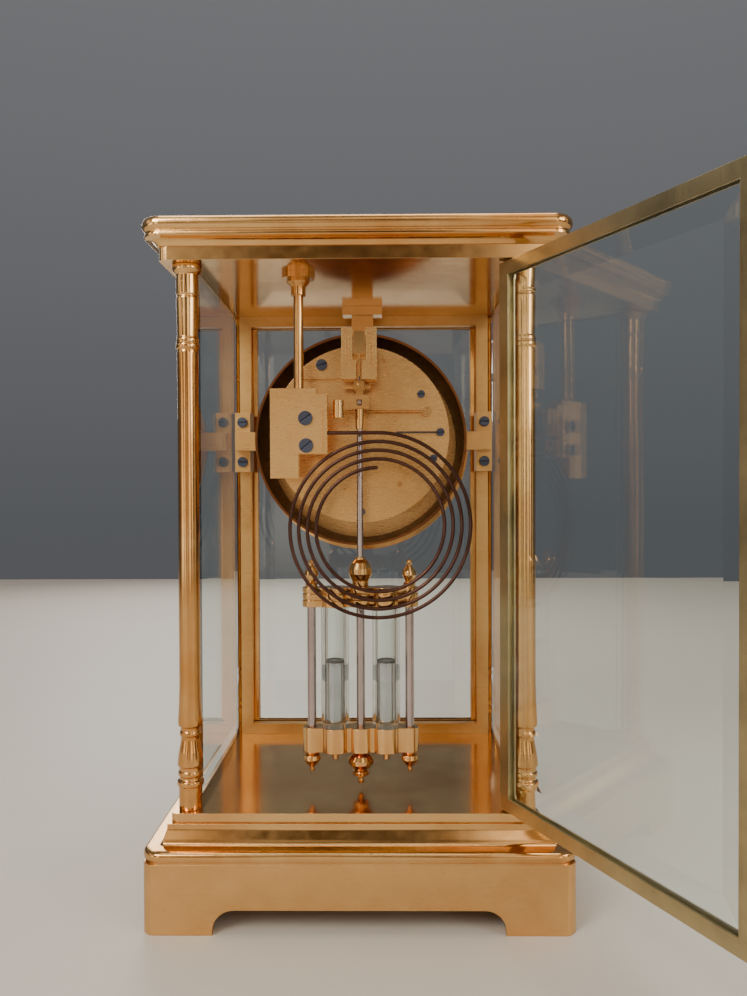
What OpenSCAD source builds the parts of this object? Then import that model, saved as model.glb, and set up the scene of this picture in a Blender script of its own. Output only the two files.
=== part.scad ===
// Four-glass mantel clock, seen open at the back: brass case with four bevelled
// glasses, round movement drum, mercury pendulum and coiled striking gong.
// Millimetres. Origin at the centre of the underside of the base, +Z up,
// the dial looks along -Y and the back door is at +Y.

/* [Case] */
// column spacing side to side, centre to centre
col_dx = 150; // [140:1:180]
// column spacing front to back, centre to centre
col_dy = 120; // [112:1:150]
// height of the base up to the top of the floor plate
base_h = 48; // [40:1:60]
// clear height between the floor and ceiling plates
glaze_h = 239.5; // [235:0.5:290]
// height of the cornice above the ceiling plate's underside
cornice_h = 17.5; // [15:0.5:24]
// height of the arch between the feet
arch_h = 10.6; // [6:0.1:14]
// length of each foot measured from the corner
foot_l = 30; // [22:1:40]
// plan corner radius of the base and cornice
corner_r = 8; // [5:1:12]
// radius of the column shaft
shaft_r = 4.6; // [4:0.1:5]

/* [Glass and doors] */
// thickness of the side glasses
glass_t = 5; // [4:0.5:6]
// width of the ground bevels
bevel_w = 11; // [8:1:14]
// width of a door bar
bar_w = 6.5; // [5:0.5:8]
// thickness of a door
bar_t = 6; // [5:0.5:7]
// how far the back door stands open, degrees
door_open = 115; // [95:1:118]

/* [Movement] */
// height of the centre arbor above the table
dial_z = 213.3; // [205:0.1:225]
// outer radius of the movement drum
drum_r = 52.2; // [48:0.1:54]
// outer radius of the bezel
bezel_r = 58; // [55:0.5:60]
// radius of the back plate
back_r = 44; // [38:0.5:48]
// module of the motion work teeth
wheel_m = 0.5; // [0.4:0.05:0.6]

/* [Pendulum] */
// front to back position of the pendulum
pend_y = 36; // [34:0.5:37]
// height of the bending point of the suspension spring
susp_z = 241.5; // [238:0.1:246]
// outer radius of a mercury vial
vial_r = 6.5; // [5:0.1:7]
// distance of each vial from the centre
vial_x = 12; // [10:0.5:14]
// height of the mercury in the vials
merc_h = 29; // [20:1:40]

/* [Gong] */
// front to back position of the gong wire
gong_y = 44.8; // [44.5:0.1:47]
// radius of the gong wire
wire_r = 0.85; // [0.7:0.05:1.2]
// radius of the outermost half turn
coil_r = 42.5; // [38:0.5:44]
// change of radius at each half turn
coil_step = 2; // [1.9:0.1:2.4]
// number of half turns
coil_n = 8; // [6:1:9]

/* [Hidden] */
$fn = 64;
e = 0.01;
hx = col_dx/2; hy = col_dy/2;      // column centres
over = 17.4;                        // plinth beyond the column centres
plate_over = 7.3;                   // floor plate beyond the column centres
ceil_z = base_h + glaze_h;
top_z = ceil_z + cornice_h;
plate_t = 4;
ceil_t = 5.8;
fit = 0.05;                         // running fit, on the radius
gap = 0.3;
rod_r = 2;                          // tie rods
col_w = 6.5;                        // widest ring of a column
door_w = col_dx - 2*col_w - 1;
door_z0 = base_h + 0.7; door_h = glaze_h - 1.4;
pin_r = 1.2; pin_l = 3;
hinge_x = -door_w/2 + 1.4;
hinge_y = hy + 1.6;
pane_t = 4;                         // door glasses
knob_z = base_h + glaze_h*0.5;
drum_w = 1.2;
drum_f = -36; drum_b = 16;
plate_f = -30.5; plate_b = 8;       // inner faces of the two movement plates
mp_t = 2.5;
back_z = dial_z + 2.7;
frame_y0 = -hy + 4.5; frame_t = 5;
frame_x = col_dx/2 - 4.2;
screw_r = 2.8;
arb_r = 1.25;
hand_y = -43;                       // back of the minute hand
hour_y = -40.2;                     // back of the hour hand
cannon_n = 12; minute_n = 36; mpin_n = 10; hour_n = 40;   // 12:1 motion work
mw_d = wheel_m*(cannon_n + minute_n)/2;
m2 = 2*mw_d/(mpin_n + hour_n);
mw_a = 30;                          // the minute wheel stands at this angle from the top
mw_p = [mw_d*sin(mw_a), dial_z + mw_d*cos(mw_a)];
hour_ph = mw_a - 90 - 360/hour_n*round((mw_a - 90)*hour_n/360);
vial_z0 = 77.7; vial_h = 56.3;
coil_x = -8.5;
wire_z = dial_z + 1.5;              // the straight end of the wire
block_x0 = 14.6; block_x1 = 40.6; rod_x = 27.6;
ham = [-32.6, 227.2];
wind_x = 19.2; wind_z = 22;         // winding squares, from the centre of the dial
wind_r = 2;
wind_y = hour_y + 0.4;              // the squares end under the hour hand
round_y = drum_f - 0.8;             // where the round arbor becomes square
esc = [0, susp_z - 14.5];           // escape wheel arbor

module ry(p, r) translate(p) rotate([-90, 0, 0]) children();       // local z along +Y
module rod_y(x, y0, z, r, l) translate([x, y0, z]) rotate([-90, 0, 0]) cylinder(r = r, h = l);
module box(x0, x1, y0, y1, z0, z1) translate([x0, y0, z0]) cube([x1 - x0, y1 - y0, z1 - z0]);
module plan(ax, ay, r, h) linear_extrude(height = h) round_rect(ax, ay, r);
module round_rect(ax, ay, r) {
  square([2*(ax - r), 2*ay], center = true);
  square([2*ax, 2*(ay - r)], center = true);
  for (sx = [-1, 1], sy = [-1, 1]) translate([sx*(ax - r), sy*(ay - r)]) circle(r = r);
}
// a moulding worked round a rectangle: the profile is [reach beyond the columns, height]
module side_of(pts, h) polygon(concat([for (p = pts) [h + p[0], p[1]]],
  [for (k = [len(pts) - 1:-1:0]) [-h - pts[k][0], pts[k][1]]]));
module mould(pts) intersection() {
  rotate([90, 0, 0]) linear_extrude(height = 4*hy, center = true) side_of(pts, hx);
  rotate([90, 0, 90]) linear_extrude(height = 4*hx, center = true) side_of(pts, hy);
}
module at_cols() for (sx = [-1, 1], sy = [-1, 1]) translate([sx*hx, sy*hy, 0]) children();

// ---- case
module base_body() difference() {
  intersection() {
    mould([[over, 0], [over, 31], [over + 0.5, 31.6], [over + 0.7, 33], [over + 0.5, 34.6],
      [over, 35.2], [10.4, base_h - 11.6], [9.6, base_h - 10], [8.9, base_h - 8], [8.6, base_h - plate_t]]);
    plan(hx + over + 0.7, hy + over + 0.7, corner_r, base_h);
  }
  translate([0, 0, -1]) plan(hx + over - 4, hy + over - 4, corner_r - 4 + e, 31);
  plan(hx + 5.5, hy + 5.5, 4, base_h - 10);
  for (a = [0, 1]) rotate([0, 0, 90*a]) {
    w = (a == 0 ? hx : hy) + over - foot_l;
    rotate([90, 0, 0]) linear_extrude(height = 4*hx, center = true) {
      translate([-w, -1]) square([2*w, arch_h - 9 + 1]);
      translate([-w + 9, 0]) square([2*w - 18, arch_h]);
      for (s = [-1, 1]) translate([s*(w - 9), arch_h - 9]) circle(r = 9);
    }
  }
  at_cols() cylinder(r = rod_r + 0.2, h = base_h + 1);
}
apron_h = 30;                          // the apron below, the moulded frame above
module base_apron() color("#b8935a") intersection() {
  base_body();
  translate([-2*hx, -2*hy, 0]) cube([4*hx, 4*hy, apron_h]);
}
module base_plinth() color("#b8935a") intersection() {
  base_body();
  translate([-2*hx, -2*hy, apron_h]) cube([4*hx, 4*hy, base_h]);
}
groove = 3;
module side_groove(z) for (s = [-1, 1])
  box(s*hx - glass_t/2 - 0.1, s*hx + glass_t/2 + 0.1, -hy + 7.4, hy - 7.4, z, z + groove);
module pin_holes(z) for (sy = [-1, 1])
  translate([hinge_x, sy*hinge_y, z]) cylinder(r = pin_r + fit, h = pin_l + 0.5);
module floor_plate() color("#d9ad70") difference() {
  translate([0, 0, base_h - plate_t]) plan(hx + plate_over, hy + plate_over, 3, plate_t);
  side_groove(base_h - groove + e);
  pin_holes(base_h - pin_l - 0.4 + 0.2);
  at_cols() cylinder(r = rod_r + 0.2, h = base_h + 1);
}
module ceiling_plate() color("#d9ad70") difference() {
  translate([0, 0, ceil_z]) plan(hx + 10.5, hy + 10.5, 4, ceil_t);
  side_groove(ceil_z - e);
  pin_holes(ceil_z - 0.3);
  at_cols() translate([0, 0, ceil_z - 1]) cylinder(r = rod_r + 0.2, h = ceil_t + 2);
}
module cornice() color("#d9ad70") difference() {
  intersection() {
    mould([[11, ceil_z + ceil_t], [11.6, ceil_z + 6.9], [13.2, ceil_z + 8.1], [16, ceil_z + 8.8],
      [16.3, ceil_z + 8.8], [16.3, ceil_z + 10.5], [15.6, ceil_z + 10.7], [15.6, ceil_z + 11.5],
      [16.6, ceil_z + 12], [17.3, ceil_z + 13.4], [17.4, ceil_z + 14.6], [17, top_z - 1.4],
      [16, top_z - 0.3], [14.8, top_z]]);
    translate([0, 0, ceil_z]) plan(hx + 17.4, hy + 17.4, corner_r, cornice_h);
  }
  translate([0, 0, ceil_z]) plan(hx + 7, hy + 7, 4, cornice_h - 3);
}
module column() translate([0, 0, base_h]) difference() {
  h = glaze_h; s = shaft_r;
  rotate_extrude() polygon([[0, 0], [5.1, 0], [5.1, 10.3], [5.9, 10.8], [5.9, 12.6], [5.2, 13.1],
    [4.7, 13.3], [4.7, 14.6], [5.4, 15], [5.4, 16.7], [4.9, 17.2], [4.9, 18.8], [5.65, 19.3],
    [5.5, 21.5], [5, 25], [4.4, 28.5], [4, 31], [4.1, 32.2], [4.6, 32.6], [4.6, 34.2], [4.2, 34.6],
    [4.2, 36.4], [5.3, 37.2], [5.3, 40.5], [s + 0.3, 46], [s, 54], [s - 0.1, h/2], [s, h - 55],
    [s + 0.1, h - 37], [4.5, h - 36.8], [5.1, h - 36.4], [5.1, h - 34.4], [4.7, h - 34.2],
    [4.9, h - 33.9], [4.9, h - 32.1], [4.5, h - 31.5], [4.9, h - 14], [4.5, h - 13.8],
    [4.5, h - 13], [4.9, h - 12.8], [4.9, h - 4.1], [5.3, h - 4], [col_w, h - 2.4],
    [col_w, h], [0, h]]);
  translate([0, 0, -1]) cylinder(r = rod_r + 0.2, h = h + 2);
}
module column_rear_left() color("#cf9a5c") translate([-hx, hy, 0]) column();
module column_rear_right() color("#cf9a5c") translate([hx, hy, 0]) column();
module column_front_left() color("#cf9a5c") translate([-hx, -hy, 0]) column();
module column_front_right() color("#cf9a5c") translate([hx, -hy, 0]) column();
nut_h = 3.5;
module tie_rods() color("#8a8d90") at_cols()
  translate([0, 0, base_h - 15.5]) cylinder(r = rod_r, h = glaze_h + 15.5 + ceil_t + 5);
module tie_rod_nuts() color("#8a8d90") at_cols()
  for (z = [base_h - 10 - nut_h, ceil_z + ceil_t]) translate([0, 0, z]) difference() {
    cylinder(r = 4.4, h = nut_h, $fn = 6);
    translate([0, 0, -1]) cylinder(r = rod_r, h = nut_h + 2);
  }
// bevelled pane standing in the YZ plane, its bevels on the side of +X
module pane(w, h, t) {
  b = bevel_w; d = t*0.38;
  intersection() {
    linear_extrude(height = h) polygon([[-t/2, -w/2], [t/2 - d, -w/2], [t/2, -w/2 + b],
      [t/2, w/2 - b], [t/2 - d, w/2], [-t/2, w/2]]);
    rotate([90, 0, 0]) linear_extrude(height = w + 2, center = true) polygon([[-t/2, 0],
      [t/2 - d, 0], [t/2, b], [t/2, h - b], [t/2 - d, h], [-t/2, h]]);
  }
}
module side_glass(s) color("#cfe6e0", 0.35) translate([s*hx, 0, base_h - groove + e])
  mirror([s < 0 ? 1 : 0, 0, 0]) pane(col_dy - 15, glaze_h + 2*groove - 0.5, glass_t);
module side_glass_left() side_glass(-1);
module side_glass_right() side_glass(1);
module front_frame() color("#c08a50") difference() {
  box(-frame_x, frame_x, -hy + 4.5, -hy + 9.5, base_h, ceil_z);
  box(-frame_x + 6.5, frame_x - 6.5, -hy, 0, base_h + 6, ceil_z - 6);
}
br_z = dial_z + 1.7; br_h = 33; br_y = frame_y0 + frame_t;
module brackets() color("#c08a50") for (s = [-1, 1]) mirror([s < 0 ? 1 : 0, 0, 0]) difference() {
  union() {
    box(hx - 12, hx - 3.5, br_y, -38, br_z - br_h/2, br_z + br_h/2);
    box(drum_r*0.9, hx - 12, drum_f + gap, -29, br_z - 5, br_z + 5);
    box(hx - 12, hx - 5, -38, -29, br_z - 5, br_z + 5);
  }
  rod_y(0, -60, dial_z, drum_r, 60);
}
module bracket_screws() color("#3c3a44") for (s = [-1, 1], k = [-1, 1])
  ry([s*(hx - 7.75), -38, br_z + 11*k]) difference() {
    cylinder(r = screw_r, h = 1.8);
    translate([-4, -0.4, 1]) cube([8, 0.8, 2]);
  }
module movement_hanger() color("#c08a50") difference() {
  union() {
    box(-10.75, 10.75, -34, -24, ceil_z - 4.7, ceil_z);
    box(-5.8, 5.8, -31.5, -26.5, dial_z, ceil_z - 4.7);
  }
  rod_y(0, -60, dial_z, drum_r, 100);
}

// ---- doors, drawn shut
module door_frame() difference() {
  union() {
    box(-door_w/2 + 1.4, door_w/2, -bar_t/2, bar_t/2, door_z0, door_z0 + door_h);
    box(-door_w/2, -door_w/2 + 1.4 + e, -bar_t/2, bar_t/2 - 1.4, door_z0, door_z0 + door_h);
    translate([-door_w/2 + 1.4, bar_t/2 - 1.4, door_z0]) cylinder(r = 1.4, h = door_h);
  }
  box(-door_w/2 + bar_w, door_w/2 - bar_w, -20, 20, door_z0 + bar_w - 0.7, door_z0 + door_h - bar_w + 0.7);
  translate([0, 0, door_z0 + bar_w - 2.8]) rotate([0, 0, 90])
    box(-pane_t/2 - 0.1, pane_t/2 + 0.1, -door_w/2 + bar_w - 2.2, door_w/2 - bar_w + 2.2, 0,
      door_h - 2*bar_w + 5.6);
}
module door_pane() translate([0, 0, door_z0 + bar_w - 2.8]) rotate([0, 0, 90])
  pane(door_w - 2*bar_w + 4.2, door_h - 2*bar_w + 5.5, pane_t);
module door_pins() for (z = [door_z0 - pin_l, door_z0 + door_h]) translate([-door_w/2 + 1.4,
  bar_t/2 - 1.4, z]) cylinder(r = pin_r, h = pin_l);
module door_knob() ry([door_w/2 - bar_w/2, bar_t/2, knob_z], 0) rotate_extrude()
  polygon([[0, 0], [2.6, 0], [2.6, 0.8], [1.3, 1.4], [1.3, 2.6], [2.4, 3.4], [2.7, 4.6], [2.1, 5.8],
    [0, 6.2]]);
module rear_place() translate([hinge_x, hinge_y, 0]) rotate([0, 0, door_open])
  translate([-hinge_x, -hinge_y, 0]) translate([0, hinge_y - bar_t/2 + 1.4, 0]) children();
module front_place() mirror([0, 1, 0]) translate([0, hinge_y - bar_t/2 + 1.4, 0]) children();
module rear_door_frame() color("#b8b29a") rear_place() door_frame();
module rear_door_glass() color("#cfe6e0", 0.35) rear_place() door_pane();
module rear_door_pins() color("#c9a15e") rear_place() door_pins();
module rear_door_knob() color("#c9a15e") rear_place() door_knob();
module front_door_frame() color("#c9a15e") front_place() door_frame();
module front_door_glass() color("#cfe6e0", 0.35) front_place() door_pane();
module front_door_pins() color("#c9a15e") front_place() door_pins();
module front_door_knob() color("#c9a15e") front_place() door_knob();

// ---- movement
module drum() color("#a06a34") difference() {
  rod_y(0, drum_f, dial_z, drum_r, drum_b - drum_f);
  rod_y(0, drum_f - 1, dial_z, drum_r - drum_w, drum_b - drum_f + 2);
}
module bezel() color("#d9ad70") ry([0, drum_f, dial_z], 0) rotate_extrude()
  polygon([[drum_r - 2.2, 0], [drum_r - 2.2, -2], [drum_r - 5.2, -2], [drum_r - 5.2, -3.6],
    [drum_r - 3, -8.6], [drum_r - 1.4, -9.8], [drum_r + 1, -10], [drum_r + 3.4, -8.8],
    [bezel_r - 0.8, -6], [bezel_r, -4], [bezel_r, 0]]);
module dial() color("#f3f0e6") difference() {
  rod_y(0, drum_f - 2, dial_z, drum_r - 2.3, 1.8);
  rod_y(0, drum_f - 3, dial_z, 2.6, 4);
  for (s = [-1, 1]) rod_y(s*wind_x, drum_f - 3, dial_z - wind_z, wind_r + 0.5, 4);
}
module dial_marks() color("#26262c") for (k = [0:11]) translate([0, drum_f - 2.25, dial_z])
  rotate([0, 30*k, 0]) {
    box(-1, 1, 0, 0.25, 32, 41);
    box(-0.4, 0.4, 0, 0.25, 42.5, 44.5);
  }
module front_plate() color("#d9a566") difference() {
  union() {
    rod_y(0, plate_f - mp_t, dial_z, drum_r - drum_w - 0.1, mp_t);
    rod_y(mw_p[0], plate_f - mp_t - 2.9, mw_p[1], 0.8, 3);
  }
  rod_y(0, plate_f - mp_t - 1, dial_z, arb_r + fit, mp_t + 2);
  rod_y(0, plate_f - mp_t - 1, susp_z, 1 + fit, mp_t + 2);
  rod_y(ham[0], plate_f - mp_t - 1, ham[1], 1.1 + fit, mp_t + 2);
  for (s = [-1, 1]) rod_y(s*wind_x, plate_f - mp_t - 1, dial_z - wind_z, wind_r + fit, mp_t + 2);
}
pill = [[0, -38.5], [-36, -12], [36, -12], [-30, 20], [30, 20]];
module back_plate() color("#d9a566") difference() {
  rod_y(0, plate_b, back_z, back_r, mp_t);
  rod_y(0, plate_b - 1, dial_z, arb_r + fit, mp_t + 2);
  rod_y(0, plate_b - 1, susp_z, 3.5, mp_t + 2);
  rod_y(ham[0], plate_b - 1, ham[1], 1.1 + fit, mp_t + 2);
  for (s = [-1, 1]) rod_y(s*wind_x, plate_b - 1, dial_z - wind_z, 1.2 + fit, mp_t + 2);
  for (p = [[-17.2, 223.7], [-10.7, 252.6], [-12.9, 246], [20, 205], [-20, 200], [8, 190]])
    rod_y(p[0], plate_b + 1.2, p[1], 1.25, 3);
}
module pillars() color("#c9a15e") for (p = pill) ry([p[0], plate_f, back_z + p[1]], 0) rotate_extrude()
  polygon([[0, 0], [3.2, 0], [3.2, 2], [2.3, 4], [2.3, 34.5], [3.2, 36.5], [3.2, plate_b - plate_f],
    [0, plate_b - plate_f]]);
module slot_screw(p, y, r, a) ry([p[0], y, p[1]], 0) difference() {
  cylinder(r = r, h = 1.6);
  rotate([0, 0, a]) translate([-2*r, -0.35, 0.8]) cube([4*r, 0.7, 2]);
}
cock = [8.3, 28.7];
module plate_screws() color("#3a3550") {
  for (p = pill) slot_screw([p[0], back_z + p[1]], plate_b + mp_t, 1.9, 30 + p[0]);
  slot_screw([cock[0] + 11, 250.4], plate_b + mp_t + 2.6, screw_r, 20);
}
sb_y = pend_y + 4;                     // rear face of the suspension bracket
module suspension_bracket() color("#d0a060") difference() {
  union() {
    intersection() {
      box(cock[0] - 4.5, cock[1], plate_b + mp_t, plate_b + mp_t + 2.6, 243.5, 259.5);
      rod_y(0, plate_b, back_z, back_r, 10);
    }
    box(cock[0] - 4.5, cock[0], plate_b + mp_t, sb_y - 8, 245.5, 257);
    box(-8.1, 8.3, sb_y - 10, sb_y, susp_z - 1.5, 264);
    box(-5, cock[0], 20, 22.5, susp_z - 4, 257);
  }
  box(-3.1, 3.1, sb_y - 8, sb_y + 1, susp_z + 7.3, 265);
  box(-1.4, 1.4, sb_y - 8, sb_y + 1, susp_z - 3, susp_z + 8);
  for (s = [-1, 1]) box(s*5.6 - 0.5, s*5.6 + 0.5, sb_y - 1, sb_y + 1, susp_z + 5, 261);
  rod_y(0, 19, susp_z, 1 + fit, 8);
}
module suspension_slider() color("#c98f4c") {
  box(-2.8, 2.8, pend_y - 3.6, pend_y + 3.2, susp_z + 10.5, susp_z + 21);
  box(-0.2, 0.2, pend_y - 2.5, pend_y + 2.5, susp_z + 0.4, susp_z + 10.5);
}
module crutch() color("#8f9296") {
  rod_y(0, plate_f - mp_t, susp_z, 1, 22.3 - plate_f + mp_t);
  difference() {
    union() {
      rod_y(0, 14, susp_z, 2.6, 3.4);
      box(-1.2, 1.2, 14.4, 16.4, 228.3, susp_z - 1);
      box(-0.8, 0.8, 15, pend_y + 5, 228.3, 230);
    }
  }
  box(-7, 7, -1, 2, susp_z - 1.2, susp_z + 1.6);
  for (s = [-1, 1]) box(s*6 - 1, s*6 + 1, -1, 2, susp_z - 7, susp_z);
}

module barrel(s) ry([s*wind_x, 0, dial_z - wind_z], 0) {
  translate([0, 0, round_y]) cylinder(r = wind_r, h = -13.2 - round_y);
  translate([-1.35, -1.35, wind_y]) cube([2.7, 2.7, round_y - wind_y + 1]);
  translate([0, 0, -17]) gear(48, 0.66, 2, 1.5);
  translate([0, 0, -15 - e]) cylinder(r = 14, h = 20);
  translate([0, 0, 5 - 2*e]) cylinder(r = 1.2, h = 5.5);
}
module going_barrel() color("#c9a15e") barrel(1);
module strike_barrel() color("#c9a15e") barrel(-1);
module escape_wheel() color("#c9a15e") ry([esc[0], 0, esc[1]], 0) {
  translate([0, 0, plate_f]) cylinder(r = 0.8, h = plate_b - plate_f);
  difference() {
    union() {
      cylinder(r = 7, h = 1);
      for (k = [0:29]) rotate([0, 0, 12*k]) linear_extrude(height = 1)
        polygon([[6.5, -0.4], [8.4, -0.1], [8.4, 0.05], [6.5, 0.5]]);
    }
    for (k = [0:4]) rotate([0, 0, 72*k]) translate([4, 0, -1]) cylinder(r = 1.7, h = 3);
    translate([0, 0, -1]) cylinder(r = 0.6, h = 3);
  }
}

// ---- pendulum
module pendulum_hook() color("#b08560") difference() {
  union() {
    box(-2.3, 2.3, pend_y - 3, pend_y + 3, 235, 239.2);
    rod_y(0, pend_y - 4.2, 237.2, 0.9, 8.4);
    box(-1.6, 1.6, pend_y - 2, pend_y + 2, 232, 235 + e);
    box(-4.25, 4.25, pend_y - 4, pend_y + 4, 226.3, 232.7);
    translate([0, pend_y, 217]) cylinder(r1 = 1.9, r2 = 2.4, h = 9.3 + e);
  }
  box(-1.3, 1.3, pend_y - 10, pend_y + 10, 227.8, 230.5);
}
module suspension_spring() color("#5a6a80") box(-0.2, 0.2, pend_y - 2.5, pend_y + 2.5, 239.2, susp_z);
module pendulum_rod() color("#b7a3a3") translate([0, pend_y, 0]) {
  translate([0, 0, 157]) cylinder(r = 1.4, h = 60);
  translate([0, 0, 77.3]) cylinder(r = 1.95, h = 56.7);
}
module scallop(z0, z1) translate([0, pend_y, z0]) linear_extrude(height = z1 - z0) {
  square([46, 8], center = true);
  for (s = [-1, 1]) {
    translate([s*23, 0]) circle(r = 4.2);
    translate([s*vial_x, 0]) circle(r = vial_r + 0.4);
  }
  circle(r = 6);
}
module pendulum_top_plate() color("#cf9a5c") difference() {
  union() {
    scallop(134, 143);
    translate([0, pend_y, 143]) rotate_extrude() polygon([[0, 0], [3.9, 0], [3.9, 3], [4.4, 4], [5.55, 6.2],
      [5.55, 8.8], [4.2, 11.4], [2.4, 13], [2.4, 14], [0, 14]]);
  }
  for (z = [137, 140]) translate([0, pend_y, z]) difference() {
    translate([-30, -12, 0]) cube([60, 24, 0.8]);
    linear_extrude(height = 3, center = true) {
      square([45, 6.8], center = true);
      for (s = [-1, 1]) {
        translate([s*23, 0]) circle(r = 3.6);
        translate([s*vial_x, 0]) circle(r = vial_r - 0.2);
      }
    }
  }
}
module pendulum_bottom_plate() color("#cf9a5c") {
  scallop(66, 77.3);
  for (s = [-1, 1]) translate([s*vial_x, pend_y, 62]) cylinder(r = 1.4, h = 4);
  translate([0, pend_y, 54]) cylinder(r = 1.5, h = 12);
}
module pendulum_side_rods() color("#b7a3a3") for (s = [-1, 1])
  translate([s*23, pend_y, 77.3]) cylinder(r = 2.05, h = 56.7);
module pendulum_finials() color("#cf9a5c") for (s = [-1, 1]) translate([s*23, pend_y, 0]) {
  translate([0, 0, 143]) rotate_extrude() polygon([[0, 0], [2.9, 0], [2.9, 1.6], [1.8, 2.4], [2.4, 3.6],
    [3.4, 5.6], [3.2, 7.4], [1.8, 9.4], [1, 10.4], [1.5, 11.4], [1.3, 12.4], [0, 13]]);
  translate([0, 0, 56]) rotate_extrude() polygon([[0, 0], [0.9, 0.3], [1.2, 1.2], [0.9, 2.2], [2.4, 3.4],
    [4.15, 6], [3.8, 8], [2.6, 9], [3.4, 9.4], [3.4, 10], [0, 10]]);
}
module vials() color("#dfe8e6", 0.35) for (s = [-1, 1]) translate([s*vial_x, pend_y, vial_z0 - 0.4])
  difference() {
    cylinder(r = vial_r, h = vial_h + 0.4);
    translate([0, 0, 2.4]) cylinder(r = vial_r - 2.2, h = vial_h + 1);
  }
module mercury() color("#c4c8cc") for (s = [-1, 1]) translate([s*vial_x, pend_y, vial_z0 + 2])
  cylinder(r = vial_r - 2.25, h = merc_h);
module rating_nut() color("#cf9a5c") translate([0, pend_y, 50.3]) difference() {
  rotate_extrude() polygon([[0, 0], [1.2, 0.4], [1.6, 1.6], [1.2, 2.8], [2.4, 3.6], [3.9, 4.4], [3.9, 6],
    [2.8, 6.8], [4.6, 8], [6.05, 9.8], [6.05, 11.6], [4.6, 13.4], [2.6, 14.6], [2.4, 15.3], [0, 15.3]]);
  translate([0, 0, 3.2]) cylinder(r = 1.5 + fit, h = 20);
}

// ---- gong
module gong_rod() color("#7b6e68") translate([rod_x, gong_y, 0]) rotate_extrude()
  polygon([[0, 235], [2.25, 235], [2.25, ceil_z - 10], [3.4, ceil_z - 10], [3.4, ceil_z - 6],
    [5.2, ceil_z - 4], [5.2, ceil_z - 2.5], [7.5, ceil_z - 2.5], [7.5, ceil_z], [0, ceil_z]]);
gb0 = gong_y - 4.2; gb1 = gong_y + 2.6;
module gong_block() color("#6a4f45") difference() {
  union() {
    box(block_x0, block_x1, gb0, gb1, 205, 235);
    box(rod_x, block_x1, gb0, gb1, 194, 205 + e);
  }
  translate([block_x0 - 1, gong_y, wire_z]) rotate([0, 90, 0]) cylinder(r = wire_r, h = 9);
  box(block_x0 - 1, block_x0 + 5, gb0 - 1, gb1 + 1, 232.5, 236);
}
module gong_clamp() color("#6a4f45") box(16.9, 30.6, gb1, gb1 + 1.8, 203.8 + 1.4, 226.1);
module gong_screws() color("#4a3f48") {
  slot_screw([24.2, 221.2], gb1 + 1.8, 3.25, 35);
  slot_screw([23.9, 208.8], gb1 + 1.8, 3.25, 40);
}
// half turns of falling radius, each struck from its own centre
function ctr(k) = k % 2 == 0 ? wire_z - coil_r : wire_z - coil_r - coil_step;
module gong_coil() color("#5a3f38") {
  translate([coil_x, gong_y, wire_z]) rotate([0, 90, 0])
    cylinder(r = wire_r, h = block_x0 - 1 + 9 - coil_x);
  for (k = [0:coil_n - 1]) translate([coil_x, gong_y, ctr(k)]) rotate([90, 0, 0])
    rotate([0, 0, k % 2 == 0 ? 90 : -90]) rotate_extrude(angle = 180)
      translate([coil_r - k*coil_step, 0]) circle(r = wire_r);
}
module hammer() color("#a8835a") {
  rod_y(ham[0], plate_f - mp_t, ham[1], 1.1, 17.5 - plate_f + mp_t);
  rod_y(ham[0], 12.5, ham[1], 2.4, 4);
  translate([ham[0], 14.5, ham[1]]) rotate([0, 90, 0]) cylinder(r = 0.6, h = 42);
  rod_y(ham[0] + 42, 13.5, ham[1], 0.9, gong_y - 13.5);
  translate([ham[0] + 42, gong_y, ham[1] - 5.6]) cylinder(r = 2.6, h = 8);
}
module hammer_spring() color("#5a6a80") {
  slot_screw([-39.5, 217], plate_b + mp_t + 1, 2, 10);
  rod_y(-39.5, plate_b + mp_t, 217, 1.4, 1);
  translate([-39.5, 13, 217]) rotate([0, 90, 0]) cylinder(r = 0.4, h = 22);
}

// ---- hands and motion work
module gear(n, m, w, bore) difference() {
  union() {
    cylinder(r = m*n/2 - 0.85*m, h = w);
    for (k = [0:n - 1]) rotate([0, 0, 360*k/n]) linear_extrude(height = w)
      polygon([[m*n/2 - 1.2*m, -0.5*m], [m*n/2, -0.36*m], [m*n/2 + 0.5*m, -0.12*m],
        [m*n/2 + 0.5*m, 0.12*m], [m*n/2, 0.36*m], [m*n/2 - 1.2*m, 0.5*m]]);
  }
  translate([0, 0, -1]) cylinder(r = bore, h = w + 2);
}
module hand(l, w, y, t, hub) translate([0, y, dial_z]) rotate([90, 0, 0]) linear_extrude(height = t)
  difference() {
    union() {
      circle(r = hub);
      polygon([[-w, 0], [w, 0], [w*0.55, l*0.6], [-w*0.55, l*0.6]]);
      translate([0, l*0.68]) circle(r = l*0.09);
      polygon([[-w*0.6, l*0.74], [w*0.6, l*0.74], [0.15, l], [-0.15, l]]);
    }
    translate([0.3, l*0.68]) circle(r = l*0.055);
  }
module minute_hand() color("#2b2f55") difference() {
  rotate([0, 0, 0]) translate([0, 0, dial_z]) rotate([0, 48, 0]) translate([0, 0, -dial_z])
    hand(43, 1.3, hand_y, 0.8, 2.8);
  rod_y(0, hand_y - 2, dial_z, arb_r, 4);
}
module centre_arbor() color("#c9a15e") {
  rod_y(0, hand_y - 2.2, dial_z, arb_r, 11 - hand_y + 2.2);
  translate([0, plate_f - mp_t - 1.6, dial_z]) rotate([-90, 0, 0]) gear(cannon_n, wheel_m, 1.2, arb_r - 0.2);
  translate([0, -20, dial_z]) rotate([-90, 0, 0]) gear(40, 0.5, 1.5, arb_r - 0.2);
}
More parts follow.
